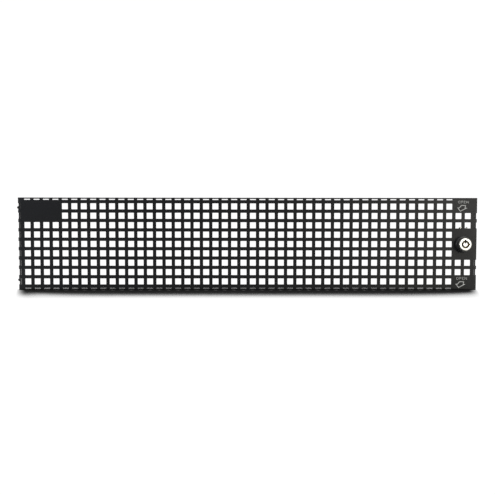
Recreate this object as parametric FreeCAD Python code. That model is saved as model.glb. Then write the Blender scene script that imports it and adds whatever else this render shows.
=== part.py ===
import FreeCAD, Part
import math
import os

from FreeCAD import Vector

# A two-unit rack front grille: one folded and perforated steel tray, with two
# locating pins on its left side and a round-key cam lock near its right side.
# X runs to the right, Y from the front to the back, Z up. The origin lies on the
# underside of the bottom flange, at mid width and mid depth. Sizes in millimetres.

# Folded sheet
panel_width = 441.0
panel_height = 88.8
panel_depth = 20.0
sheet = 1.0
fold_flats = 2             # flats that make up the outside of each fold
corner_seam = 0.3          # slit between a side flange and its neighbours
neutral_share = 0.4        # place of the unstretched layer in the sheet

# Perforation
hole_side = 5.7
hole_pitch = 9.0
edge_land = 8.0            # least distance from a side to the centre of a whole hole
badge_columns = 4          # bare field at the top left
badge_rows = 2
label_columns = 2          # bare fields at the right, above and below the lock
label_rows = 1
lock_field = 27.0          # height of the bare field round the lock

# Locating pins on the left flange
pin_radius = 1.5
pin_reach = 2.4            # outside the flange
pin_taper = 1.2            # length of the tapered end
pin_end_radius = 0.6
pin_shank_radius = 2.0     # clinched in the flange, flush inside
pin_spread = 34.9          # from mid height to each pin
pin_setback = 9.5          # from the front of the panel to the pins

# Lock housing and its fixing
head_radius = 7.6
head_height = 6.0
head_edge = 0.6
neck_radius = 6.3
neck_height = 11.3         # from the panel to the seat of the face ring
barrel_radius = 5.9
barrel_length = 7.5        # behind the front of the panel
barrel_flat = 5.0          # from the axis to each of the two flats
barrel_clearance = 0.1
shoulder = 2.0             # rear wall of the housing
tooth_count = 12
tooth_washer_radius = 9.0
tooth_depth = 1.2
tooth_washer_height = 0.8
nut_across = 16.0
nut_height = 3.5

# Face ring and keyway
ring_radius = 5.75
ring_height = 1.2
ring_edge = 0.35
keyway_radius = 3.7
post_radius = 2.1
post_recess = 0.1
keyway_depth = 5.0         # from the front of the ring to the floor of the keyway
lug_width = 1.3            # slots in the ring for the lugs of the key
lug_depth = 0.8
post_notch_width = 2.2     # notch in the post, which keys the key to the plug
post_notch_depth = 1.4
post_notch_length = 3.0

# Turning plug and key pins
plug_radius = 4.3
shank_radius = 2.6
square_side = 3.6          # square end that carries the cam
running_gap = 0.1
key_pin_places = 8         # the place at the top is the lug slot and has no pin
key_pin_circle = 3.4
key_pin_radius = 0.5
key_pin_sides = 8
key_pin_length = 7.7
key_pin_travel = 2.5
key_pin_clearance = 0.06
key_pin_well = 1.0         # room that is left behind a pressed pin

# Cam and its fixing
stop_height = 0.9
stop_radius = 5.6
stop_rim = 1.2             # radial size of the fixed stop on the housing
stop_lug_angle = 24.0
stop_place = 215.0         # middle of the fixed stop, clockwise from the top
stop_play = 2.0            # degrees left at each end of the turn
lock_turn = 90.0
cam_height = 2.0
cam_throw = 3.2            # reach past the outside of the right flange
cam_hub_radius = 5.6
cam_back = 2.4             # half width of the arm on its trailing side
cam_nose = 5.4             # tip of the nose, ahead of the axis
cam_nose_width = 1.4
cam_notch = 2.0
cam_notch_depth = 2.0
cam_slot_play = 0.7
bolt_radius = 1.25
bolt_length = 7.0          # under the head
bolt_across = 5.0
bolt_head_height = 1.8
spring_washer_radius = 2.8
spring_washer_height = 0.7
fit_gap = 0.05

# Derived places
overcut = 1.0
panel_front = -panel_depth / 2
panel_rear = panel_depth / 2
panel_back = panel_front + sheet
half_width = panel_width / 2
mid_height = panel_height / 2
fold_deduction = 2 * sheet - math.pi / 2 * neutral_share * sheet
columns = int((panel_width - 2 * edge_land) / hole_pitch) + 1
rows = int((panel_height - 2 * edge_land) / hole_pitch) + 1
last_column = (columns - 1) / 2 * hole_pitch
last_row = (rows - 1) / 2 * hole_pitch
lock_x = last_column - hole_pitch / 2
lock_z = mid_height
ring_seat = panel_front - neck_height
ring_front = ring_seat - ring_height
keyway_floor = ring_front + keyway_depth
barrel_end = panel_front + barrel_length
bore_radius = plug_radius + running_gap
bore_floor = barrel_end - shoulder
plug_rear = bore_floor - running_gap
nut_front = panel_back + tooth_washer_height
stop_front = barrel_end + running_gap
cam_front = stop_front + stop_height
cam_rear = cam_front + cam_height
bolt_seat = cam_rear + spring_washer_height
flange_reach = half_width - lock_x
cam_reach = flange_reach + cam_throw


def box(x0, x1, y0, y1, z0, z1):
    return Part.makeBox(x1 - x0, y1 - y0, z1 - z0, Vector(x0, y0, z0))


def prism(points, sweep):
    return Part.Face(Part.makePolygon(points + points[:1])).extrude(sweep)


def turned(profile):
    # A profile of (radius, y) points turned about the lock's axis
    points = [Vector(radius, y, 0) for radius, y in profile]
    solid = Part.Face(Part.makePolygon(points + points[:1])).revolve(
        Vector(0, 0, 0), Vector(0, 1, 0), 360
    )
    solid.translate(Vector(lock_x, 0, lock_z))
    return solid


def lock_box(x0, x1, y0, y1, z0, z1):
    # A box placed from the lock's axis
    return box(lock_x + x0, lock_x + x1, y0, y1, lock_z + z0, lock_z + z1)


def lock_plate(outline, y0, y1):
    # A plate with an outline of (x, z) points about the lock's axis
    points = [Vector(lock_x + x, y0, lock_z + z) for x, z in outline]
    return prism(points, Vector(0, y1 - y0, 0))


def clock(radius, angle):
    # A point of a circle, by its angle clockwise from the top
    turn = math.radians(angle)
    return radius * math.sin(turn), radius * math.cos(turn)


def ring_points(radii, count):
    return [clock(radii[k % len(radii)], 360 * k / count) for k in range(count)]


def square_hole(y0, y1):
    half = square_side / 2 + fit_gap
    return lock_box(-half, half, y0, y1, -half, half)


# Folded tray

def fold_outline(low, high):
    # Section of the tray's outer block, across one pair of folds, as (across, y)
    angles = [math.radians(90 * k / fold_flats) for k in range(fold_flats + 1)]
    fold = [(sheet * (1 - math.cos(a)), panel_front + sheet * (1 - math.sin(a))) for a in angles]
    start = [(low + across, y) for across, y in fold]
    end = [(high - across, y) for across, y in reversed(fold)]
    return [(low, panel_rear)] + start + end + [(high, panel_rear)]


def tray():
    plan = [Vector(x, y, 0) for x, y in fold_outline(-half_width, half_width)]
    side = [Vector(-half_width, y, z) for z, y in fold_outline(0, panel_height)]
    outer = prism(plan, Vector(0, 0, panel_height)).common(prism(side, Vector(panel_width, 0, 0)))
    inside = box(
        -half_width + sheet,
        half_width - sheet,
        panel_back,
        panel_rear + overcut,
        sheet,
        panel_height - sheet,
    )
    return outer.cut(inside)


def column_x(column):
    return column * hole_pitch - last_column


def row_z(row):
    return mid_height + last_row - row * hole_pitch


def is_bare(column, row):
    in_badge = column < badge_columns and row < badge_rows
    at_right = column >= columns - label_columns
    in_label = row < label_rows or row >= rows - label_rows
    in_lock_field = abs(row_z(row) - lock_z) < lock_field / 2
    return in_badge or (at_right and (in_label or in_lock_field))


def whole_holes():
    half = hole_side / 2
    cutters = []
    for column in range(columns):
        for row in range(rows):
            if is_bare(column, row):
                continue
            x = column_x(column)
            z = row_z(row)
            cutters.append(
                box(x - half, x + half, panel_front - overcut, panel_back + overcut, z - half, z + half)
            )
    return cutters


def fold_holes():
    # The next row and column of the same pattern, punched flat and then folded over the edges
    half = hole_side / 2
    row_start = last_row + hole_pitch - half
    column_start = last_column + hole_pitch - half
    row_end = panel_front + row_start + hole_side - mid_height + fold_deduction
    column_end = panel_front + column_start + hole_side - half_width + fold_deduction
    front = panel_front - overcut
    cutters = []
    for column in range(columns - label_columns):
        x = column_x(column)
        top = mid_height + row_start
        bottom = mid_height - row_start
        cutters.append(box(x - half, x + half, front, row_end, top, panel_height + overcut))
        cutters.append(box(x - half, x + half, front, row_end, -overcut, bottom))
    for row in range(rows):
        z = row_z(row)
        outside = half_width + overcut
        cutters.append(box(-outside, -column_start, front, column_end, z - half, z + half))
        if not is_bare(columns - 1, row):
            cutters.append(box(column_start, outside, front, column_end, z - half, z + half))
    return cutters


def corner_seams():
    cutters = []
    for side in (-1, 1):
        outer = side * (half_width + overcut)
        inner = side * (half_width - sheet)
        for z in (sheet, panel_height - sheet - corner_seam):
            cutters.append(
                box(
                    min(outer, inner),
                    max(outer, inner),
                    panel_back,
                    panel_rear + overcut,
                    z,
                    z + corner_seam,
                )
            )
    return cutters


def lock_hole():
    radius = barrel_radius + barrel_clearance
    flat = barrel_flat + barrel_clearance
    front = panel_front - overcut
    back = panel_back + overcut
    bore = turned([(0, front), (radius, front), (radius, back), (0, back)])
    return bore.common(lock_box(-flat, flat, front, back, -radius, radius))


def cam_slot():
    # Taken from the path of the cam's nose through the right flange
    tip = math.hypot(cam_nose, cam_reach)
    inside = flange_reach - sheet
    top = math.sqrt(tip * tip - inside * inside) + cam_slot_play
    bottom = -cam_nose - cam_nose_width - cam_slot_play
    return lock_box(
        inside - overcut,
        flange_reach + overcut,
        cam_front - cam_slot_play,
        cam_rear + cam_slot_play,
        bottom,
        top,
    )


def pin_heights():
    return {"upper": mid_height + pin_spread, "lower": mid_height - pin_spread}


def pin_holes():
    cutters = []
    for z in pin_heights().values():
        start = Vector(-half_width - overcut, panel_front + pin_setback, z)
        length = sheet + 2 * overcut
        cutters.append(Part.makeCylinder(pin_shank_radius + fit_gap, length, start, Vector(1, 0, 0)))
    return cutters


def grille_panel():
    cutters = whole_holes() + fold_holes() + corner_seams() + pin_holes()
    return tray().cut(cutters + [lock_hole(), cam_slot()])


# Locating pins

def locating_pin(z):
    # Clinched from inside: a flush shank in the flange and a tapered end outside
    outside = -half_width
    inside = sheet - half_width
    tip = outside - pin_reach
    profile = [
        (inside, 0),
        (inside, pin_shank_radius),
        (outside, pin_shank_radius),
        (outside, pin_radius),
        (tip + pin_taper, pin_radius),
        (tip, pin_end_radius),
        (tip, 0),
    ]
    points = [Vector(x, radius, 0) for x, radius in profile]
    pin = Part.Face(Part.makePolygon(points + points[:1])).revolve(
        Vector(0, 0, 0), Vector(1, 0, 0), 360
    )
    pin.translate(Vector(0, panel_front + pin_setback, z))
    return pin


# Lock housing and its fixing

def lock_housing():
    head_front = panel_front - head_height
    body = turned(
        [
            (bore_radius, ring_seat),
            (neck_radius, ring_seat),
            (neck_radius, head_front),
            (head_radius - head_edge, head_front),
            (head_radius, head_front + head_edge),
            (head_radius, panel_front),
            (barrel_radius, panel_front),
            (barrel_radius, barrel_end),
            (shank_radius + running_gap, barrel_end),
            (shank_radius + running_gap, bore_floor),
            (bore_radius, bore_floor),
        ]
    )
    for side in (-1, 1):
        near = side * barrel_flat
        far = side * (barrel_radius + overcut)
        flat = lock_box(
            min(near, far),
            max(near, far),
            panel_front,
            barrel_end + overcut,
            -barrel_radius,
            barrel_radius,
        )
        body = body.cut(flat)
    return body.fuse(fixed_stop())


def sector(inner, outer, start, end, y0, y1):
    # Part of a flat ring between two clockwise angles
    middle = (start + end) / 2
    near = [Vector(lock_x + x, y0, lock_z + z) for x, z in (clock(inner, a) for a in (start, middle, end))]
    far = [Vector(lock_x + x, y0, lock_z + z) for x, z in (clock(outer, a) for a in (start, middle, end))]
    edges = [
        Part.Arc(near[0], near[1], near[2]).toShape(),
        Part.LineSegment(near[2], far[2]).toShape(),
        Part.Arc(far[2], far[1], far[0]).toShape(),
        Part.LineSegment(far[0], near[0]).toShape(),
    ]
    return Part.Face(Part.Wire(edges)).extrude(Vector(0, y1 - y0, 0))


def fixed_stop():
    # Lug on the end of the barrel, which limits the turn of the stop washer
    half = stop_lug_angle / 2
    return sector(
        stop_radius - stop_rim + running_gap,
        stop_radius,
        stop_place - half,
        stop_place + half,
        barrel_end - shoulder / 2,
        cam_front - running_gap,
    )


def tooth_washer():
    tip = tooth_washer_radius
    root = tooth_washer_radius - tooth_depth
    outline = ring_points((tip, tip, root, root), 4 * tooth_count)
    body = lock_plate(outline, panel_back, nut_front)
    return body.cut(lock_bore(barrel_radius + fit_gap, panel_back, nut_front))


def lock_bore(radius, y0, y1):
    return turned([(0, y0 - overcut), (radius, y0 - overcut), (radius, y1 + overcut), (0, y1 + overcut)])


def lock_nut():
    rear = nut_front + nut_height
    body = lock_plate(hexagon(nut_across), nut_front, rear)
    return body.cut(lock_bore(barrel_radius + fit_gap, nut_front, rear))


# Face ring, plug and key pins

def lug_slots(inner, outer, y0, y1, angles):
    # Straight slots that run out from the axis at the given clockwise angles
    slots = []
    for angle in angles:
        slot = lock_box(-lug_width / 2, lug_width / 2, y0, y1, inner, outer)
        slot.rotate(Vector(lock_x, 0, lock_z), Vector(0, 1, 0), angle)
        slots.append(slot)
    return slots


def lock_face_ring():
    body = turned(
        [
            (keyway_radius, ring_seat),
            (keyway_radius, ring_front),
            (ring_radius - ring_edge, ring_front),
            (ring_radius, ring_front + ring_edge),
            (ring_radius, ring_seat),
        ]
    )
    outer = keyway_radius + lug_depth
    return body.cut(lug_slots(0, outer, ring_front - overcut, ring_seat + overcut, (0, lock_turn)))


def key_pin_angles():
    return [360 * k / key_pin_places for k in range(1, key_pin_places)]


def key_pin_rod(angle, radius, y0, y1):
    place_x, place_z = clock(key_pin_circle, angle)
    outline = [(place_x + x, place_z + z) for x, z in ring_points((radius,), key_pin_sides)]
    return lock_plate(outline, y0, y1)


def key_pin(angle):
    front = ring_seat + fit_gap
    return key_pin_rod(angle, key_pin_radius, front, front + key_pin_length)


def post_notch(front):
    spread = post_notch_width / 2 * (post_notch_depth + overcut) / post_notch_depth
    top = post_radius + overcut
    outline = [(-spread, top), (spread, top), (0, post_radius - post_notch_depth)]
    return lock_plate(outline, front - overcut, front + post_notch_length)


def lock_plug():
    front = ring_front + post_recess
    tapped_floor = bolt_seat - bolt_length - fit_gap
    tapped_radius = bolt_radius + fit_gap
    body = turned(
        [
            (0, front),
            (post_radius, front),
            (post_radius, keyway_floor),
            (plug_radius, keyway_floor),
            (plug_radius, plug_rear),
            (shank_radius, plug_rear),
            (shank_radius, stop_front),
            (0, stop_front),
        ]
    )
    half = square_side / 2
    body = body.fuse(lock_box(-half, half, plug_rear, cam_rear - running_gap, -half, half))
    well_end = ring_seat + key_pin_length + key_pin_travel + key_pin_well
    well_radius = key_pin_radius + key_pin_clearance
    wells = [key_pin_rod(a, well_radius, keyway_floor - overcut, well_end) for a in key_pin_angles()]
    tapped = turned(
        [
            (0, tapped_floor),
            (tapped_radius, tapped_floor),
            (tapped_radius, cam_rear),
            (0, cam_rear),
        ]
    )
    return body.cut(wells + [post_notch(front), tapped])


# Cam and its fixing

def stop_washer():
    body = turned([(0, stop_front), (stop_radius, stop_front), (stop_radius, cam_front), (0, cam_front)])
    half = stop_lug_angle / 2 + stop_play
    window = sector(
        stop_radius - stop_rim,
        stop_radius + overcut,
        stop_place - half - lock_turn,
        stop_place + half,
        stop_front - overcut,
        cam_front + overcut,
    )
    return body.cut([window, square_hole(stop_front - overcut, cam_front + overcut)])


def lock_cam():
    # An arm with a notched end, which stands up when the lock is open
    root = math.sqrt(cam_hub_radius * cam_hub_radius - cam_back * cam_back)
    side = cam_nose + cam_nose_width
    outline = [
        (-cam_back, root),
        (-cam_back, cam_reach - cam_nose_width),
        (-cam_back + cam_nose_width, cam_reach),
        (cam_nose - cam_notch - cam_nose_width, cam_reach),
        (cam_nose - cam_notch, cam_reach - cam_notch_depth),
        (cam_nose, cam_reach),
        (side, cam_reach - cam_notch_depth),
        (cam_hub_radius, 0),
        (-cam_back, 0),
    ]
    arm = lock_plate(outline, cam_front, cam_rear)
    hub = turned([(0, cam_front), (cam_hub_radius, cam_front), (cam_hub_radius, cam_rear), (0, cam_rear)])
    return hub.fuse(arm).removeSplitter().cut(square_hole(cam_front - overcut, cam_rear + overcut))


def spring_washer():
    inner = bolt_radius + 2 * fit_gap
    return turned(
        [
            (inner, cam_rear),
            (spring_washer_radius, cam_rear),
            (spring_washer_radius, bolt_seat),
            (inner, bolt_seat),
        ]
    )


def hexagon(across):
    return ring_points((across / 2 / math.cos(math.pi / 6),), 6)


def cam_bolt():
    tip = bolt_seat - bolt_length
    shank = turned([(0, tip), (bolt_radius, tip), (bolt_radius, bolt_seat), (0, bolt_seat)])
    return shank.fuse(lock_plate(hexagon(bolt_across), bolt_seat, bolt_seat + bolt_head_height))


def all_parts():
    parts = {"grille_panel": grille_panel()}
    for place, z in pin_heights().items():
        parts[place + "_locating_pin"] = locating_pin(z)
    parts["lock_housing"] = lock_housing()
    parts["lock_tooth_washer"] = tooth_washer()
    parts["lock_nut"] = lock_nut()
    parts["lock_face_ring"] = lock_face_ring()
    parts["lock_plug"] = lock_plug()
    for number, angle in enumerate(key_pin_angles(), 1):
        parts["key_pin_%d" % number] = key_pin(angle)
    parts["stop_washer"] = stop_washer()
    parts["lock_cam"] = lock_cam()
    parts["cam_spring_washer"] = spring_washer()
    parts["cam_bolt"] = cam_bolt()
    return parts


os.makedirs("parts", exist_ok=True)
for name, shape in all_parts().items():
    solid = shape.Solids[0]
    print(name, len(shape.Solids), shape.isValid(), round(shape.Volume, 2), len(shape.Faces))
    solid.exportStep("parts/%s.step" % name)
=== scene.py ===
import bmesh
import bpy
import math
from mathutils import Euler, Matrix, Vector


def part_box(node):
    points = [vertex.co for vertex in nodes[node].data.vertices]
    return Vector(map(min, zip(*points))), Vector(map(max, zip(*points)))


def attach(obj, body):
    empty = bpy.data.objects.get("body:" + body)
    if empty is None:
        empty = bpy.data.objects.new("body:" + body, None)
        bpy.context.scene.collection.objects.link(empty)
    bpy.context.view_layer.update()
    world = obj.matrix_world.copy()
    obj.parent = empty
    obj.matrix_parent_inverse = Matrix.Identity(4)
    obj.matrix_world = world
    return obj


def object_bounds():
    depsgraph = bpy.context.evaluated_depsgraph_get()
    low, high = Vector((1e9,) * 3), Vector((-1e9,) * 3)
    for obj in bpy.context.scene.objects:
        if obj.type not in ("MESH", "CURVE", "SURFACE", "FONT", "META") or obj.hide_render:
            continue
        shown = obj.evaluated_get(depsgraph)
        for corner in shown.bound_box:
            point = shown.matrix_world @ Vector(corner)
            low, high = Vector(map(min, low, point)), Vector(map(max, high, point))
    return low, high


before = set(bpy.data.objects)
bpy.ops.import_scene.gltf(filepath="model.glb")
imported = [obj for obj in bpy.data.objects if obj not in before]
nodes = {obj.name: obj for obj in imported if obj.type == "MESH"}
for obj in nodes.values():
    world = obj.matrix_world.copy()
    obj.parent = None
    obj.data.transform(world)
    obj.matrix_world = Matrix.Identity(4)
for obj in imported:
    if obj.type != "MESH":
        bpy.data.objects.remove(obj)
cadLow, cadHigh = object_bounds()
mm = 0.001
panelLow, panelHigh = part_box("grille_panel")
panelFront = panelLow.y
panelMiddle = (panelLow.z + panelHigh.z) / 2
ringLow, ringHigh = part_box("lock_face_ring")
lockFace = Vector(((ringLow.x + ringHigh.x) / 2, ringLow.y, (ringLow.z + ringHigh.z) / 2))
print("frame loaded with", len(nodes), "nodes")


# Short ways to make nodes and links

def addNode(tree, kind, x, y, inputs=None, **settings):
    node = tree.nodes.new(kind)
    node.location = (x, y)
    for name, value in settings.items():
        setattr(node, name, value)
    for socket, value in (inputs or {}).items():
        node.inputs[socket].default_value = value
    return node


def mathNode(tree, operation, x, y, first, second):
    node = addNode(tree, "ShaderNodeMath", x, y, operation=operation)
    for place, value in enumerate((first, second)):
        if isinstance(value, (int, float)):
            node.inputs[place].default_value = value
        else:
            tree.links.new(value, node.inputs[place])
    return node.outputs[0]


def noiseNode(tree, x, y, vector, scale, detail, roughness=0.5):
    node = addNode(tree, "ShaderNodeTexNoise", x, y, {"Detail": detail, "Roughness": roughness})
    tree.links.new(vector, node.inputs["Vector"])
    tree.links.new(scale, node.inputs["Scale"])
    return node.outputs[0]


def remapNode(tree, x, y, value, low, high, toLow=0.0, toHigh=1.0):
    limits = {"From Min": low, "From Max": high, "To Min": toLow, "To Max": toHigh}
    node = addNode(tree, "ShaderNodeMapRange", x, y, limits)
    tree.links.new(value, node.inputs["Value"])
    return node.outputs["Result"]


def mixColour(tree, x, y, factor, first, second):
    node = addNode(tree, "ShaderNodeMix", x, y, data_type="RGBA")
    tree.links.new(factor, node.inputs[0])
    for place, value in ((6, first), (7, second)):
        if isinstance(value, bpy.types.NodeSocket):
            tree.links.new(value, node.inputs[place])
        else:
            node.inputs[place].default_value = (*value, 1)
    return node.outputs[2]


def newGroup(name, inputs, outputs):
    group = bpy.data.node_groups.new(name, "ShaderNodeTree")
    for label, kind, value in inputs:
        socket = group.interface.new_socket(label, in_out="INPUT", socket_type="NodeSocket" + kind)
        if value is not None:
            socket.default_value = value
    for label in outputs:
        group.interface.new_socket(label, in_out="OUTPUT", socket_type="NodeSocketFloat")
    start = addNode(group, "NodeGroupInput", -900, 0)
    end = addNode(group, "NodeGroupOutput", 900, 0)
    return group, start.outputs, end.inputs


# Effects that several finishes share

sprayGrain = {
    "peelShare": 0.45,                     # shares of the height
    "grainShare": 0.55,
    "slowShare": 0.6,                      # shares of the mottle
    "speckleShare": 0.4,
    "contrast": (0.3, 0.7),                # noise that counts as none and as full
}


def makeCoatGrain():
    # Orange peel and fine grain of a sprayed coat, with a slow mottle
    group, start, end = newGroup(
        "coatGrain",
        [("Vector", "Vector", None), ("Peel Size", "Float", 1.2 * mm), ("Grain Size", "Float", 0.3 * mm),
         ("Mottle Size", "Float", 30 * mm)],
        ["Height", "Mottle", "Gloss"],
    )
    scales = [mathNode(group, "DIVIDE", -700, -200 * k, 1.0, start[k + 1]) for k in range(3)]
    peel = noiseNode(group, -500, 200, start[0], scales[0], 2)
    grain = noiseNode(group, -500, 0, start[0], scales[1], 3, 0.6)
    mottle = noiseNode(group, -500, -200, start[0], scales[2], 3)
    peelPart = mathNode(group, "MULTIPLY", -200, 200, peel, sprayGrain["peelShare"])
    grainPart = mathNode(group, "MULTIPLY", -200, 0, grain, sprayGrain["grainShare"])
    group.links.new(mathNode(group, "ADD", 0, 100, peelPart, grainPart), end["Height"])
    slow = remapNode(group, -200, -200, mottle, *sprayGrain["contrast"])
    speckle = remapNode(group, -200, -450, grain, *sprayGrain["contrast"])
    slowPart = mathNode(group, "MULTIPLY", 0, -200, slow, sprayGrain["slowShare"])
    specklePart = mathNode(group, "MULTIPLY", 0, -450, speckle, sprayGrain["speckleShare"])
    group.links.new(mathNode(group, "ADD", 200, -200, slowPart, specklePart), end["Mottle"])
    group.links.new(mathNode(group, "MULTIPLY", 200, -450, speckle, slow), end["Gloss"])
    return group


rubbedEdge = {
    "samples": 6,
    "turn": (0.995, 0.85),                 # cosine from the flat to the rounded normal: none and full
    "contrast": (0.35, 0.65),
}


def makeEdgeRub():
    # Mask of the outer edges, broken up so that the rub is uneven
    group, start, end = newGroup(
        "edgeRub",
        [("Vector", "Vector", None), ("Radius", "Float", 0.3 * mm), ("Patch Size", "Float", 4 * mm)],
        ["Mask"],
    )
    rounded = addNode(group, "ShaderNodeBevel", -500, 200, samples=rubbedEdge["samples"])
    group.links.new(start["Radius"], rounded.inputs["Radius"])
    surface = addNode(group, "ShaderNodeNewGeometry", -500, 0)
    meeting = addNode(group, "ShaderNodeVectorMath", -250, 150, operation="DOT_PRODUCT")
    group.links.new(rounded.outputs[0], meeting.inputs[0])
    group.links.new(surface.outputs["Normal"], meeting.inputs[1])
    edge = remapNode(group, -50, 150, meeting.outputs["Value"], *rubbedEdge["turn"])
    scale = mathNode(group, "DIVIDE", -700, -200, 1.0, start["Patch Size"])
    patches = noiseNode(group, -500, -200, start["Vector"], scale, 4, 0.65)
    uneven = remapNode(group, -250, -200, patches, *rubbedEdge["contrast"])
    group.links.new(mathNode(group, "MULTIPLY", 200, 0, edge, uneven), end["Mask"])
    return group


hairlines = {
    "turns": (0.35, -0.9),                 # radians, one for each direction
    "stretch": (1.0, 0.05, 0.05),
    "contrast": (0.60, 0.72),
    "hazeContrast": (0.35, 0.65),
}


def makeHandlingMarks():
    # Fine hairlines in two directions, with a soft haze
    group, start, end = newGroup(
        "handlingMarks",
        [("Vector", "Vector", None), ("Spacing", "Float", 0.25 * mm), ("Haze Size", "Float", 6 * mm)],
        ["Height", "Streak", "Haze"],
    )
    scale = mathNode(group, "DIVIDE", -700, 0, 1.0, start["Spacing"])
    lines = []
    for k, turn in enumerate(hairlines["turns"]):
        stretch = addNode(group, "ShaderNodeMapping", -500, 300 - 300 * k)
        stretch.inputs["Rotation"].default_value = (turn, turn, turn)
        stretch.inputs["Scale"].default_value = hairlines["stretch"]
        group.links.new(start["Vector"], stretch.inputs["Vector"])
        line = noiseNode(group, -250, 300 - 300 * k, stretch.outputs[0], scale, 2)
        lines.append(remapNode(group, 0, 300 - 300 * k, line, *hairlines["contrast"]))
    streak = mathNode(group, "MAXIMUM", 200, 150, lines[0], lines[1])
    group.links.new(streak, end["Streak"])
    group.links.new(mathNode(group, "MULTIPLY", 400, 150, streak, -1.0), end["Height"])
    hazeScale = mathNode(group, "DIVIDE", -700, -300, 1.0, start["Haze Size"])
    haze = noiseNode(group, -250, -400, start["Vector"], hazeScale, 3)
    group.links.new(remapNode(group, 0, -400, haze, *hairlines["hazeContrast"]), end["Haze"])
    return group


def makeTurnedLines():
    # Rings that a lathe leaves on a face, about the Y axis of the vector
    group, start, end = newGroup(
        "turnedLines",
        [("Vector", "Vector", None), ("Pitch", "Float", 0.12 * mm)],
        ["Height"],
    )
    flat = addNode(group, "ShaderNodeVectorMath", -500, 0, operation="MULTIPLY")
    flat.inputs[1].default_value = (1, 0, 1)
    group.links.new(start["Vector"], flat.inputs[0])
    radius = addNode(group, "ShaderNodeVectorMath", -300, 0, operation="LENGTH")
    group.links.new(flat.outputs[0], radius.inputs[0])
    steps = mathNode(group, "DIVIDE", -100, 0, radius.outputs["Value"], start["Pitch"])
    fine = {"Scale": 1.0, "Detail": 2.0}
    rings = addNode(group, "ShaderNodeTexNoise", 100, 0, fine, noise_dimensions="1D")
    group.links.new(steps, rings.inputs["W"])
    group.links.new(rings.outputs[0], end["Height"])
    return group


keyway = {
    "start": (0.15 * mm, 0.9 * mm),        # depth behind the face where the painted shade and grease begin and are full
    "end": (6.0 * mm, 6.6 * mm),
    "radius": (4.4 * mm, 4.9 * mm),
}


def makeKeywayShadeAndGrease():
    # Mask of the room inside the keyway, which gets painted shade and some grease
    group, start, end = newGroup("keywayShadeAndGrease", [("Vector", "Vector", None)], ["Mask"])
    parts = addNode(group, "ShaderNodeSeparateXYZ", -600, 0)
    group.links.new(start["Vector"], parts.inputs[0])
    flat = addNode(group, "ShaderNodeCombineXYZ", -400, -200)
    group.links.new(parts.outputs["X"], flat.inputs["X"])
    group.links.new(parts.outputs["Z"], flat.inputs["Z"])
    radius = addNode(group, "ShaderNodeVectorMath", -200, -200, operation="LENGTH")
    group.links.new(flat.outputs[0], radius.inputs[0])
    begun = remapNode(group, 0, 200, parts.outputs["Y"], *keyway["start"])
    ended = remapNode(group, 0, 0, parts.outputs["Y"], *keyway["end"], 1.0, 0.0)
    within = remapNode(group, 0, -200, radius.outputs["Value"], *keyway["radius"], 1.0, 0.0)
    depth = mathNode(group, "MULTIPLY", 250, 100, begun, ended)
    group.links.new(mathNode(group, "MULTIPLY", 450, 0, depth, within), end["Mask"])
    return group


coatGrain = makeCoatGrain()
edgeRub = makeEdgeRub()
handlingMarks = makeHandlingMarks()
turnedLines = makeTurnedLines()
keywayShadeAndGrease = makeKeywayShadeAndGrease()
print("shared effects made")


# Finishes

def newFinish(name, settings):
    material = bpy.data.materials.new(name)
    material.use_nodes = True
    tree = material.node_tree
    tree.nodes.clear()
    output = addNode(tree, "ShaderNodeOutputMaterial", 900, 0)
    surface = addNode(tree, "ShaderNodeBsdfPrincipled", 600, 0, settings)
    tree.links.new(surface.outputs[0], output.inputs["Surface"])
    place = addNode(tree, "ShaderNodeTexCoord", -900, 0).outputs["Object"]
    return material, tree, surface.inputs, place


def effect(tree, group, x, y, vector, values=None):
    node = addNode(tree, "ShaderNodeGroup", x, y, values, node_tree=group)
    tree.links.new(vector, node.inputs["Vector"])
    return node.outputs


def bumpNode(tree, x, y, height, depth, strength):
    node = addNode(tree, "ShaderNodeBump", x, y, {"Strength": strength, "Distance": depth})
    tree.links.new(height, node.inputs["Height"])
    return node.outputs[0]


def aboutLock(tree, place):
    # The place measured from the middle of the lock's face
    node = addNode(tree, "ShaderNodeVectorMath", -700, 200, operation="SUBTRACT")
    node.inputs[1].default_value = lockFace
    tree.links.new(place, node.inputs[0])
    return node.outputs[0]


coat = {
    "name": "panelPowderCoat",
    "dark": (0.0054, 0.0054, 0.0060),
    "pale": (0.0092, 0.0092, 0.0100),
    "rubbed": (0.015, 0.015, 0.016),
    "rub": 0.30 * mm,
    "patch": 4 * mm,
    "worn": 0.45,                          # share of the rubbed colour on the edges
    "peel": 1.3 * mm,
    "grain": 0.32 * mm,
    "rough": (0.32, 0.42),
    "bumpDepth": 0.04 * mm,
    "bumpStrength": 0.40,
    "specular": 0.145,
}
lockCoat = {
    "name": "lockSatinBlack",
    "dark": (0.0050, 0.0050, 0.0054),
    "pale": (0.0085, 0.0085, 0.0090),
    "rubbed": (0.03, 0.03, 0.03),
    "rub": 0.15 * mm,
    "patch": 1.5 * mm,
    "worn": 0.35,
    "peel": 0.7 * mm,
    "grain": 0.2 * mm,
    "rough": (0.30, 0.44),
    "bumpDepth": 0.015 * mm,
    "bumpStrength": 0.4,
    "specular": 0.42,
}


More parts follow.
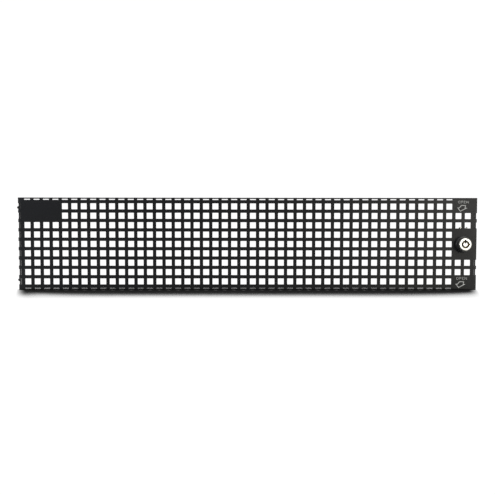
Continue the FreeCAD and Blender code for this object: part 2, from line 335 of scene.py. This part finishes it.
def sprayedCoat(spray):
    # Black coat with grain, a slow mottle and rubbed edges
    material, tree, surface, place = newFinish(spray["name"], {"Specular IOR Level": spray["specular"]})
    grainSizes = {"Peel Size": spray["peel"], "Grain Size": spray["grain"]}
    rubSizes = {"Radius": spray["rub"], "Patch Size": spray["patch"]}
    grain = effect(tree, coatGrain, -500, 200, place, grainSizes)
    rub = effect(tree, edgeRub, -500, -200, place, rubSizes)
    body = mixColour(tree, -100, 200, grain["Mottle"], spray["dark"], spray["pale"])
    worn = mathNode(tree, "MULTIPLY", -300, -200, rub["Mask"], spray["worn"])
    tree.links.new(mixColour(tree, 150, 200, worn, body, spray["rubbed"]), surface["Base Color"])
    low, high = spray["rough"]
    tree.links.new(remapNode(tree, 150, -50, grain["Gloss"], 0.0, 1.0, high, low), surface["Roughness"])
    bump = bumpNode(tree, 150, -300, grain["Height"], spray["bumpDepth"], spray["bumpStrength"])
    tree.links.new(bump, surface["Normal"])
    return material


# The darkest colour of each metal is for the inside of the keyway: painted shade with some grease
chrome = {
    "name": "lockChrome",
    "clear": (0.76, 0.745, 0.69),
    "hazed": (0.68, 0.667, 0.617),
    "keywayShadeTone": (0.20, 0.19, 0.16),
    "rough": (0.06, 0.16),
    "spacing": 0.22 * mm,
    "haze": 4 * mm,
    "pitch": 0.10 * mm,
    "bumpDepth": 0.002 * mm,
}
nickel = {
    "name": "lockNickel",
    "clear": (0.62, 0.60, 0.565),
    "hazed": (0.56, 0.54, 0.505),
    "keywayShadeTone": (0.030, 0.026, 0.018),
    "rough": (0.12, 0.26),
    "spacing": 0.2 * mm,
    "haze": 3 * mm,
    "pitch": 0.14 * mm,
    "bumpDepth": 0.004 * mm,
}
brass = {
    "name": "keyPinBrass",
    "clear": (0.80, 0.61, 0.30),
    "hazed": (0.52, 0.36, 0.15),
    "keywayShadeTone": (0.10, 0.075, 0.028),
    "rough": (0.22, 0.40),
    "spacing": 0.1 * mm,
    "haze": 0.8 * mm,
    "pitch": 0.08 * mm,
    "bumpDepth": 0.003 * mm,
}


lathe = {"scratchShare": 0.5, "bumpStrength": 0.5}


def turnedMetal(metal):
    # Plated or bare metal that was turned on a lathe, with painted shade and grease inside the keyway
    material, tree, surface, place = newFinish(metal["name"], {"Metallic": 1.0})
    centred = aboutLock(tree, place)
    markSizes = {"Spacing": metal["spacing"], "Haze Size": metal["haze"]}
    marks = effect(tree, handlingMarks, -500, 200, place, markSizes)
    rings = effect(tree, turnedLines, -500, -200, centred, {"Pitch": metal["pitch"]})
    body = mixColour(tree, 0, 200, marks["Haze"], metal["clear"], metal["hazed"])
    shadeAndGrease = effect(tree, keywayShadeAndGrease, -500, 500, centred)
    # Inside the keyway the colour darkens: painted shade with some grease
    tree.links.new(mixColour(tree, 250, 200, shadeAndGrease["Mask"], body, metal["keywayShadeTone"]), surface["Base Color"])
    low, high = metal["rough"]
    wear = mathNode(tree, "MAXIMUM", -200, 0, marks["Streak"], marks["Haze"])
    tree.links.new(remapNode(tree, 150, -50, wear, 0.0, 1.0, low, high), surface["Roughness"])
    scratched = mathNode(tree, "MULTIPLY", -200, -150, marks["Height"], lathe["scratchShare"])
    height = mathNode(tree, "ADD", 0, -250, rings["Height"], scratched)
    bump = bumpNode(tree, 150, -300, height, metal["bumpDepth"], lathe["bumpStrength"])
    tree.links.new(bump, surface["Normal"])
    return material


zinc = {
    "clear": (0.66, 0.67, 0.68),
    "dull": (0.45, 0.46, 0.48),
    "passivated": (0.62, 0.60, 0.50),      # faint straw tint of the passivation
    "tint": 0.5,                           # and its share
    "rubbed": (0.78, 0.79, 0.80),
    "rough": (0.26, 0.46),
    "marks": {"Spacing": 0.3 * mm, "Haze Size": 5 * mm},
    "grain": {"Peel Size": 0.9 * mm, "Grain Size": 0.2 * mm, "Mottle Size": 7 * mm},
    "rub": {"Radius": 0.2 * mm, "Patch Size": 2 * mm},
    "bumpDepth": 0.006 * mm,
    "bumpStrength": 0.4,
}


def zincPlate():
    material, tree, surface, place = newFinish("zincPlate", {"Metallic": 1.0})
    marks = effect(tree, handlingMarks, -500, 200, place, zinc["marks"])
    grain = effect(tree, coatGrain, -500, -100, place, zinc["grain"])
    rub = effect(tree, edgeRub, -500, -400, place, zinc["rub"])
    body = mixColour(tree, -150, 250, marks["Haze"], zinc["clear"], zinc["dull"])
    tintShare = mathNode(tree, "MULTIPLY", -150, 50, grain["Mottle"], zinc["tint"])
    tinted = mixColour(tree, 50, 250, tintShare, body, zinc["passivated"])
    tree.links.new(mixColour(tree, 250, 250, rub["Mask"], tinted, zinc["rubbed"]), surface["Base Color"])
    low, high = zinc["rough"]
    tree.links.new(remapNode(tree, 250, -50, marks["Haze"], 0.0, 1.0, low, high), surface["Roughness"])
    height = mathNode(tree, "ADD", 50, -250, grain["Height"], marks["Height"])
    bump = bumpNode(tree, 250, -300, height, zinc["bumpDepth"], zinc["bumpStrength"])
    tree.links.new(bump, surface["Normal"])
    return material


ink = {
    "full": (0.46, 0.46, 0.45),
    "thin": (0.30, 0.30, 0.29),            # where the screen left less ink
    "rough": (0.45, 0.65),
    "grain": {"Peel Size": 0.8 * mm, "Grain Size": 0.2 * mm, "Mottle Size": 2 * mm},
    "bumpDepth": 0.02 * mm,
    "bumpStrength": 0.4,
    "specular": 0.35,
}


def labelInk():
    material, tree, surface, place = newFinish("labelInk", {"Specular IOR Level": ink["specular"]})
    grain = effect(tree, coatGrain, -500, 200, place, ink["grain"])
    tone = mixColour(tree, 150, 200, grain["Mottle"], ink["thin"], ink["full"])
    tree.links.new(tone, surface["Base Color"])
    low, high = ink["rough"]
    tree.links.new(remapNode(tree, 150, -50, grain["Gloss"], 0.0, 1.0, high, low), surface["Roughness"])
    bump = bumpNode(tree, 150, -300, grain["Height"], ink["bumpDepth"], ink["bumpStrength"])
    tree.links.new(bump, surface["Normal"])
    return material


panelFinish = sprayedCoat(coat)
lockFinish = sprayedCoat(lockCoat)
chromeFinish = turnedMetal(chrome)
nickelFinish = turnedMetal(nickel)
brassFinish = turnedMetal(brass)
zincFinish = zincPlate()
inkFinish = labelInk()
print("finishes made")


# Soft edges and smooth rounds on the construction

rounding = {
    "join": 0.002 * mm,                    # points nearer than this become one
    "segments": 2,
    "leastAngle": 35,                      # degrees; flatter edges get no bevel
}


def makeSmoothRounds():
    # Joins the face patches of a solid and smooths all edges under the angle
    group = bpy.data.node_groups.new("smoothRounds", "GeometryNodeTree")
    group.is_modifier = True
    group.interface.new_socket("Geometry", in_out="INPUT", socket_type="NodeSocketGeometry")
    group.interface.new_socket("Angle", in_out="INPUT", socket_type="NodeSocketFloat")
    group.interface.new_socket("Geometry", in_out="OUTPUT", socket_type="NodeSocketGeometry")
    start = addNode(group, "NodeGroupInput", -600, 0)
    plain = addNode(group, "GeometryNodeRemoveAttribute", -400, 0, {"Name": "custom_normal"})
    joined = addNode(group, "GeometryNodeMergeByDistance", -200, 0, {"Distance": rounding["join"]})
    soft = addNode(group, "GeometryNodeSetShadeSmooth", 0, 0, domain="FACE")
    crisp = addNode(group, "GeometryNodeSetShadeSmooth", 200, 0, {"Shade Smooth": False}, domain="EDGE")
    bend = addNode(group, "GeometryNodeInputMeshEdgeAngle", -200, -200)
    over = addNode(group, "FunctionNodeCompare", 0, -200, data_type="FLOAT", operation="GREATER_THAN")
    end = addNode(group, "NodeGroupOutput", 400, 0)
    chain = (start.outputs[0], plain, joined, soft, crisp, end)
    source = chain[0]
    for step in chain[1:]:
        group.links.new(source, step.inputs[0])
        source = step.outputs[0] if step.outputs else None
    group.links.new(bend.outputs["Unsigned Angle"], over.inputs[0])
    group.links.new(start.outputs["Angle"], over.inputs[1])
    group.links.new(over.outputs[0], crisp.inputs["Selection"])
    return group


smoothRounds = makeSmoothRounds()

edges = {                                  # node: (finish, width of the soft edge, sharp above degrees)
    "grille_panel": (panelFinish, 0.14 * mm, 50),
    "upper_locating_pin": (panelFinish, 0.12 * mm, 28),
    "lower_locating_pin": (panelFinish, 0.12 * mm, 28),
    "lock_housing": (lockFinish, 0.12 * mm, 28),
    "lock_face_ring": (chromeFinish, 0.08 * mm, 28),
    "lock_plug": (nickelFinish, 0.06 * mm, 28),
    "lock_tooth_washer": (zincFinish, 0.06 * mm, 28),
    "lock_nut": (zincFinish, 0.25 * mm, 28),
    "stop_washer": (zincFinish, 0.06 * mm, 28),
    "lock_cam": (zincFinish, 0.12 * mm, 28),
    "cam_spring_washer": (zincFinish, 0.08 * mm, 28),
    "cam_bolt": (zincFinish, 0.18 * mm, 28),
}
for name in nodes:
    if name.startswith("key_pin_"):
        edges[name] = (brassFinish, 0.07 * mm, 50)

for name, (finish, width, angle) in edges.items():
    piece = nodes[name]
    piece.data.materials.clear()
    piece.data.materials.append(finish)
    rounds = piece.modifiers.new("rounds", "NODES")
    rounds.node_group = smoothRounds
    rounds["Socket_1"] = math.radians(angle)
    soft = piece.modifiers.new("softEdges", "BEVEL")
    soft.width = width
    soft.segments = rounding["segments"]
    soft.limit_method = "ANGLE"
    soft.angle_limit = math.radians(max(angle, rounding["leastAngle"]))
    soft.use_clamp_overlap = True
    even = piece.modifiers.new("evenShading", "WEIGHTED_NORMAL")
    even.keep_sharp = True
print("construction dressed")


# Printed words and arrows

label = {
    "capHeight": 2.45 * mm,
    "gap": 0.80 * mm,
    "widths": {"O": 0.98, "P": 0.70, "E": 0.66, "N": 0.88},  # shares of the cap height
    "bowl": 0.56,                          # height of the bowl of the P, as a share too
    "middleBar": 0.85,                     # of the E, as a share of its width
    "roundSteps": 40,
    "bowlSteps": 16,
    "upperStroke": 0.28 * mm,
    "lowerStroke": 0.22 * mm,              # worn thinner
    "headHalf": 4.95 * mm,
    "headLength": 3.75 * mm,
    "shaftHalf": (3.1 * mm, 2.15 * mm),    # at the head and at the far end
    "shaftLength": 2.6 * mm,
    "arrowLean": 0.45,                     # sideways per length, as in an oblique drawing
    "arrowTurn": -2.5,                     # degrees
    "arrowStroke": 0.62 * mm,
    "inkHeight": 0.03 * mm,
    "upperWord": (206.9 * mm, 40.35 * mm),  # across, and up from mid height
    "upperArrow": (205.9 * mm, 34.95 * mm),
    "lowerWord": (206.3 * mm, -33.05 * mm),
    "lowerArrow": (205.35 * mm, -38.5 * mm),
}


def arcPoints(x, y, radiusX, radiusY, start, end, count):
    angles = [math.radians(start + (end - start) * k / count) for k in range(count + 1)]
    return [(x + radiusX * math.cos(a), y + radiusY * math.sin(a)) for a in angles]


def letterO(high, stroke):
    wide = label["widths"]["O"] * high
    steps = label["roundSteps"]
    outer = arcPoints(wide / 2, high / 2, wide / 2, high / 2, 0, 360, steps)[:-1]
    inner = arcPoints(wide / 2, high / 2, wide / 2 - stroke, high / 2 - stroke, 0, 360, steps)[:-1]
    return wide, [outer, inner]


def letterP(high, stroke):
    wide = label["widths"]["P"] * high
    bowl = label["bowl"] * high
    steps = label["bowlSteps"]
    radius = bowl / 2
    x = wide - radius
    y = high - radius
    outer = [(0, 0), (stroke, 0), (stroke, high - bowl)]
    outer += arcPoints(x, y, radius, radius, -90, 90, steps) + [(0, high)]
    inner = [(stroke, high - bowl + stroke)]
    inner += arcPoints(x, y, radius - stroke, radius - stroke, -90, 90, steps) + [(stroke, high - stroke)]
    return wide, [outer, inner]


def letterE(high, stroke):
    wide = label["widths"]["E"] * high
    low = (high - stroke) / 2
    up = (high + stroke) / 2
    bar = label["middleBar"] * wide
    outline = [(0, 0), (wide, 0), (wide, stroke), (stroke, stroke), (stroke, low), (bar, low), (bar, up),
               (stroke, up), (stroke, high - stroke), (wide, high - stroke), (wide, high), (0, high)]
    return wide, [outline]


def letterN(high, stroke):
    wide = label["widths"]["N"] * high
    slant = stroke * math.hypot(1, (high - 2 * stroke) / (wide - 2 * stroke))
    outline = [(0, 0), (stroke, 0), (stroke, high - slant), (wide - stroke, 0), (wide, 0), (wide, high),
               (wide - stroke, high), (wide - stroke, slant), (stroke, high), (0, high)]
    return wide, [outline]


def wordLoops(stroke):
    high = label["capHeight"]
    loops = []
    x = 0
    for letter in (letterO, letterP, letterE, letterN):
        wide, shapes = letter(high, stroke)
        loops += [[(x + px, py) for px, py in shape] for shape in shapes]
        x += wide + label["gap"]
    half = (x - label["gap"]) / 2
    return [[(px - half, py - high / 2) for px, py in loop] for loop in loops]


def insetLoop(points, distance):
    # The same loop moved inwards; the points run anticlockwise
    lines = []
    for first, second in zip(points, points[1:] + points[:1]):
        run = (Vector(second) - Vector(first)).normalized()
        lines.append((Vector(first) + distance * Vector((-run.y, run.x)), run))
    inner = []
    for (pointA, runA), (pointB, runB) in zip(lines[-1:] + lines[:-1], lines):
        gap = pointB - pointA
        along = (gap.x * runB.y - gap.y * runB.x) / (runA.x * runB.y - runA.y * runB.x)
        inner.append(tuple(pointA + along * runA))
    return inner


def arrowLoops():
    # An open block arrow in an oblique drawing, which points out of the panel and down to the left
    barb = label["headHalf"]
    tip = label["headLength"]
    near, far = label["shaftHalf"]
    top = label["shaftLength"]
    lean = label["arrowLean"]
    level = [(-barb, 0), (-lean * tip, -tip), (barb, 0), (near, 0)]
    level += [(far + lean * top, top), (-far + lean * top, top), (-near, 0)]
    turn = Matrix.Rotation(math.radians(label["arrowTurn"]), 2)
    outline = [tuple(turn @ Vector(point)) for point in level]
    return [outline, insetLoop(outline, label["arrowStroke"])]


def printInk(name, loops, place):
    # A flat print on the front of the panel; inner loops are left open
    curve = bpy.data.curves.new(name, "CURVE")
    curve.dimensions = "2D"
    curve.fill_mode = "BOTH"
    curve.extrude = label["inkHeight"] / 2
    for loop in loops:
        spline = curve.splines.new("POLY")
        spline.points.add(len(loop) - 1)
        for point, (x, y) in zip(spline.points, loop):
            point.co = (x, y, 0, 1)
        spline.use_cyclic_u = True
    drawn = bpy.data.objects.new(name + "Curve", curve)
    bpy.context.scene.collection.objects.link(drawn)
    bpy.context.view_layer.update()
    drawnNow = drawn.evaluated_get(bpy.context.evaluated_depsgraph_get())
    piece = bpy.data.objects.new(name, bpy.data.meshes.new_from_object(drawnNow))
    bpy.context.scene.collection.objects.link(piece)
    bpy.data.objects.remove(drawn)
    across, up = place
    piece.rotation_euler = (math.pi / 2, 0, 0)
    piece.location = (across, panelFront - label["inkHeight"] / 2, panelMiddle + up)
    piece.data.materials.clear()
    piece.data.materials.append(inkFinish)
    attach(piece, "grille")


for side in ("upper", "lower"):
    printInk("open_word_" + side, wordLoops(label[side + "Stroke"]), label[side + "Word"])
    printInk("open_arrow_" + side, arrowLoops(), label[side + "Arrow"])
print("labels printed")


# Thread on the end of the lock's barrel, between the two flats

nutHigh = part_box("lock_nut")[1]
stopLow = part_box("stop_washer")[0]
thread = {
    "radius": 5.9 * mm,
    "flat": 5.0 * mm,
    "pitch": 1.0 * mm,
    "halfBase": 0.42,                      # half width of a turn, as a share of the pitch
    "height": 0.22 * mm,
    "sunk": 0.05 * mm,
    "steps": 26,
    "start": nutHigh.y + 0.15 * mm,        # clear of the nut and of the washer
    "end": stopLow.y - 0.25 * mm,
}


def barrelThread():
    mesh = bmesh.new()
    base = thread["radius"] - thread["sunk"]
    crest = thread["radius"] + thread["height"]
    halfArc = math.asin(thread["flat"] / crest)
    halfBase = thread["halfBase"] * thread["pitch"]
    rows = int((thread["end"] - thread["start"] - thread["pitch"]) / (thread["pitch"] / 2)) + 1
    for row in range(rows):
        middle = math.pi * row
        rings = []
        for step in range(thread["steps"] + 1):
            angle = middle - halfArc + 2 * halfArc * step / thread["steps"]
            y = thread["start"] + thread["pitch"] / 2 * (1 + angle / math.pi)
            profile = ((base, y - halfBase), (crest, y), (base, y + halfBase))
            rings.append([
                mesh.verts.new((lockFace.x + r * math.sin(angle), along, lockFace.z + r * math.cos(angle)))
                for r, along in profile
            ])
        for first, second in zip(rings, rings[1:]):
            for k in range(3):
                mesh.faces.new((first[k], first[(k + 1) % 3], second[(k + 1) % 3], second[k]))
        mesh.faces.new(rings[0][::-1])
        mesh.faces.new(rings[-1])
    bmesh.ops.recalc_face_normals(mesh, faces=mesh.faces)
    data = bpy.data.meshes.new("barrel_thread")
    mesh.to_mesh(data)
    mesh.free()
    piece = bpy.data.objects.new("barrel_thread", data)
    bpy.context.scene.collection.objects.link(piece)
    data.materials.append(lockFinish)
    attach(piece, "grille")


barrelThread()
print("thread cut")


# Floor, light and camera

studio = {
    "floorSize": 8.0,
    "floorGap": 0.1 * mm,                  # below the panel
    "floorTone": (0.8, 0.8, 0.8, 1),
    "shadowReach": 0.13,
    "shadowSamples": 128,
    "shadowLean": (0.0, 0.8, 0.6),         # the shadow falls to the front
    "shadowSide": (-0.4 * mm, 216.4 * mm),  # middle and half width of the painted shadow; past it the floor is painted clear
    "shadowTaper": 0.24,                   # narrower by this much per length towards the front
    "shadowFade": (8.0 * mm, 0.06),        # width of the side fade at the panel, and its growth
    "shadowEnd": (16 * mm, 0.4),           # length of the left end that shades more, and how much
    "shadowOverrun": 0.25,                 # how far past that end it grows, as a share of the length
    "shadowPower": 2.0,                    # how late both fades set in
    "shadowSteps": (
        (0.50, 0.014), (0.60, 0.0185), (0.645, 0.030), (0.683, 0.095), (0.728, 0.232),
        (0.770, 0.450), (0.814, 0.670), (0.859, 0.807), (0.919, 0.939), (0.985, 1.0),
    ),
    "whiteLevel": 1.06,                    # just over white, so that it stays white when smoothed
    "worldLevel": 0.36,
    "flag": ((-0.58, 0.31), (-1.7, -0.16), 1.4),  # across from and to, depth from and to, height
    "backFlag": ((-0.32, 0.32), 1.0, 0.22),  # across from and to, depth, height
    "flagTone": (0.02, 0.02, 0.02, 1),
    "flagRough": 0.9,
    "flagLift": 1 * mm,
    # Lamps: place, width and height, watts, colour
    "rightLamp": ((1.00, -1.4, 0.75), (1.0, 1.0), 8.0, (1.0, 0.98, 0.92)),
    "rightCard": ((0.78, -1.5, 0.20), (0.70, 0.40), 1.25, (1.0, 0.975, 0.87)),
    "sideCard": ((0.90, -1.45, 0.12), (0.36, 0.24), 5.0, (1.0, 0.97, 0.85)),
    "lockLamp": ((0.30, -0.45, 0.12), (0.08, 0.05), 0.26, (1.0, 0.97, 0.90)),
    "leftLamp": ((-1.05, -1.5, 0.45), (0.90, 0.90), 10.0, (0.80, 0.88, 1.0)),
    "topLamp": ((0.0, 0.15, 1.5), (1.6, 1.0), 12.0, (1.0, 1.0, 1.0)),
    "backLamp": ((-1.5, 0.8, 0.12), (0.8, 0.20), 12.0, (1.0, 1.0, 1.0)),
}


def sheetObject(name, corners):
    data = bpy.data.meshes.new(name)
    data.from_pydata(corners, [], [tuple(range(len(corners)))])
    piece = bpy.data.objects.new(name, data)
    bpy.context.scene.collection.objects.link(piece)
    return piece


def whiteRays(tree, x, y):
    # One for camera, mirror and glass rays, nothing for scattered light
    rays = addNode(tree, "ShaderNodeLightPath", x, y).outputs
    mirrored = mathNode(tree, "MAXIMUM", x + 200, y, rays["Is Glossy Ray"], rays["Is Transmission Ray"])
    return mathNode(tree, "MAXIMUM", x + 400, y, rays["Is Camera Ray"], mirrored)


def floorShadow(tree):
    # What the panel shelters from the light, with soft ends
    lean = addNode(tree, "ShaderNodeCombineXYZ", -600, -300, dict(zip("XYZ", studio["shadowLean"])))
    reach = {"Distance": studio["shadowReach"]}
    samples = studio["shadowSamples"]
    shelter = addNode(tree, "ShaderNodeAmbientOcclusion", -400, -300, reach, samples=samples)
    tree.links.new(lean.outputs[0], shelter.inputs["Normal"])
    light = shelter.outputs["AO"]
    place = addNode(tree, "ShaderNodeTexCoord", -600, -600).outputs["Object"]
    parts = addNode(tree, "ShaderNodeSeparateXYZ", -400, -600)
    tree.links.new(place, parts.inputs[0])
    middle, halfWidth = studio["shadowSide"]
    centred = mathNode(tree, "SUBTRACT", -400, -750, parts.outputs["X"], middle)
    front = mathNode(tree, "MULTIPLY", -200, -800, parts.outputs["Y"], -1.0)
    ahead = mathNode(tree, "MAXIMUM", 0, -800, front, 0.0)
    taper = mathNode(tree, "MULTIPLY", 200, -800, ahead, studio["shadowTaper"])

    # The left end shades more
    length, shade = studio["shadowEnd"]
    leftward = mathNode(tree, "MULTIPLY", 200, -400, centred, -1.0)
    leftOutside = mathNode(tree, "SUBTRACT", 400, -400, leftward, halfWidth)
    leftBeyond = mathNode(tree, "ADD", 600, -400, leftOutside, taper)
    nearEnd = remapNode(tree, 800, -500, leftBeyond, -length, studio["shadowOverrun"] * length)
    steep = mathNode(tree, "POWER", 900, -500, nearEnd, studio["shadowPower"])
    extra = mathNode(tree, "MULTIPLY", 1000, -500, steep, shade)
    covered = mathNode(tree, "SUBTRACT", 1000, -300, 1.0, light)
    more = mathNode(tree, "MULTIPLY", 1200, -400, covered, extra)
    ramp = addNode(tree, "ShaderNodeValToRGB", -150, -300)
    stops = ramp.color_ramp.elements
    while len(stops) < len(studio["shadowSteps"]):
        stops.new(0.5)
    for stop, (position, level) in zip(stops, studio["shadowSteps"]):
        stop.position = position
        stop.color = (level, level, level, 1)
    tree.links.new(mathNode(tree, "SUBTRACT", 1400, -300, light, more), ramp.inputs[0])

    # Past both sides the floor clears to white
    width, growth = studio["shadowFade"]
    side = mathNode(tree, "ABSOLUTE", -200, -600, centred, 0.0)
    outside = mathNode(tree, "SUBTRACT", 200, -600, side, halfWidth)
    beyond = mathNode(tree, "ADD", 400, -700, outside, taper)
    grown = mathNode(tree, "MULTIPLY", 200, -1000, ahead, growth)
    spread = mathNode(tree, "ADD", 400, -900, grown, width)
    past = remapNode(tree, 800, -700, mathNode(tree, "DIVIDE", 600, -700, beyond, spread), 0.0, 1.0)
    cleared = mathNode(tree, "POWER", 1000, -700, past, studio["shadowPower"])
    return mixColour(tree, 150, -450, cleared, ramp.outputs[0], (1, 1, 1))


def whiteFloor():
    half = studio["floorSize"] / 2
    low = cadLow.z - studio["floorGap"]
    corners = [(-half, -half, low), (half, -half, low), (half, half, low), (-half, half, low)]
    floor = sheetObject("floor", corners)
    material = bpy.data.materials.new("floorWhite")
    material.use_nodes = True
    tree = material.node_tree
    tree.nodes.clear()
    output = addNode(tree, "ShaderNodeOutputMaterial", 800, 0)
    blend = addNode(tree, "ShaderNodeMixShader", 600, 0)
    tree.links.new(blend.outputs[0], output.inputs["Surface"])
    tree.links.new(whiteRays(tree, -200, 300), blend.inputs[0])
    matte = addNode(tree, "ShaderNodeBsdfDiffuse", 200, -100, {"Color": studio["floorTone"]})
    tree.links.new(matte.outputs[0], blend.inputs[1])
    white = addNode(tree, "ShaderNodeEmission", 200, -300, {"Strength": studio["whiteLevel"]})
    tree.links.new(floorShadow(tree), white.inputs["Color"])
    tree.links.new(white.outputs[0], blend.inputs[2])
    floor.data.materials.append(material)


def whiteWorld():
    world = bpy.data.worlds.new("studioWorld")
    world.use_nodes = True
    tree = world.node_tree
    tree.nodes.clear()
    output = addNode(tree, "ShaderNodeOutputWorld", 800, 0)
    blend = addNode(tree, "ShaderNodeMixShader", 600, 0)
    dim = {"Color": (1, 1, 1, 1), "Strength": studio["worldLevel"]}
    bright = {"Color": (1, 1, 1, 1), "Strength": studio["whiteLevel"]}
    soft = addNode(tree, "ShaderNodeBackground", 300, -100, dim)
    white = addNode(tree, "ShaderNodeBackground", 300, -300, bright)
    tree.links.new(whiteRays(tree, -200, 300), blend.inputs[0])
    tree.links.new(soft.outputs[0], blend.inputs[1])
    tree.links.new(white.outputs[0], blend.inputs[2])
    tree.links.new(blend.outputs[0], output.inputs["Surface"])
    bpy.context.scene.world = world


def darkFlags():
    # Black cloth behind the camera and on the table, which keeps the middle of the panel dark,
    # and behind the tray, which keeps the inside of its folds dark
    (left, right), (back, near), high = studio["flag"]
    material = bpy.data.materials.new("flagCloth")
    material.use_nodes = True
    surface = material.node_tree.nodes["Principled BSDF"].inputs
    surface["Base Color"].default_value = studio["flagTone"]
    surface["Roughness"].default_value = studio["flagRough"]
    low = studio["flagLift"]
    upright = [(left, back, low), (right, back, low), (right, back, high), (left, back, high)]
    lying = [(left, back, low), (right, back, low), (right, near, low), (left, near, low)]
    (left, right), back, high = studio["backFlag"]
    behind = [(left, back, low), (right, back, low), (right, back, high), (left, back, high)]
    for name, corners in (("uprightFlag", upright), ("lyingFlag", lying), ("backFlag", behind)):
        flag = sheetObject(name, corners)
        flag.data.materials.append(material)
        flag.visible_camera = False
        flag.visible_shadow = False


def softLamp(name):
    place, (wide, high), power, colour = studio[name]
    data = bpy.data.lights.new(name, "AREA")
    data.shape = "RECTANGLE"
    data.size = wide
    data.size_y = high
    data.energy = power
    data.color = colour
    lamp = bpy.data.objects.new(name, data)
    lamp.location = place
    lamp.visible_camera = False
    aim = Vector((0, 0, panelMiddle)) - Vector(place)
    lamp.rotation_euler = aim.to_track_quat("-Z", "Y").to_euler()
    bpy.context.scene.collection.objects.link(lamp)


view = {
    "place": (-0.01592, -1.05, 0.0664),
    "pitch": -4.6274,
    "yaw": 0.8425,
    "roll": 0.0536,
    "lens": 78.527,
    "shiftUp": 0.1232,
    "sensor": 36,
    "clip": (0.01, 50),
}


def photoCamera():
    data = bpy.data.cameras.new("photoCamera")
    data.sensor_width = view["sensor"]
    data.lens = view["lens"]
    data.shift_y = view["shiftUp"]
    data.clip_start, data.clip_end = view["clip"]
    camera = bpy.data.objects.new("photoCamera", data)
    bpy.context.scene.collection.objects.link(camera)
    turn = Euler((math.radians(90 + view["pitch"]), 0, -math.radians(view["yaw"])))
    tilt = Matrix.Rotation(math.radians(view["roll"]), 4, "Z")
    camera.matrix_world = Matrix.Translation(view["place"]) @ turn.to_matrix().to_4x4() @ tilt
    bpy.context.scene.camera = camera


whiteFloor()
whiteWorld()
darkFlags()
for lampName in ("rightLamp", "rightCard", "sideCard", "lockLamp", "leftLamp", "topLamp", "backLamp"):
    softLamp(lampName)
photoCamera()
bpy.context.scene.view_settings.view_transform = "Standard"
print("studio set")
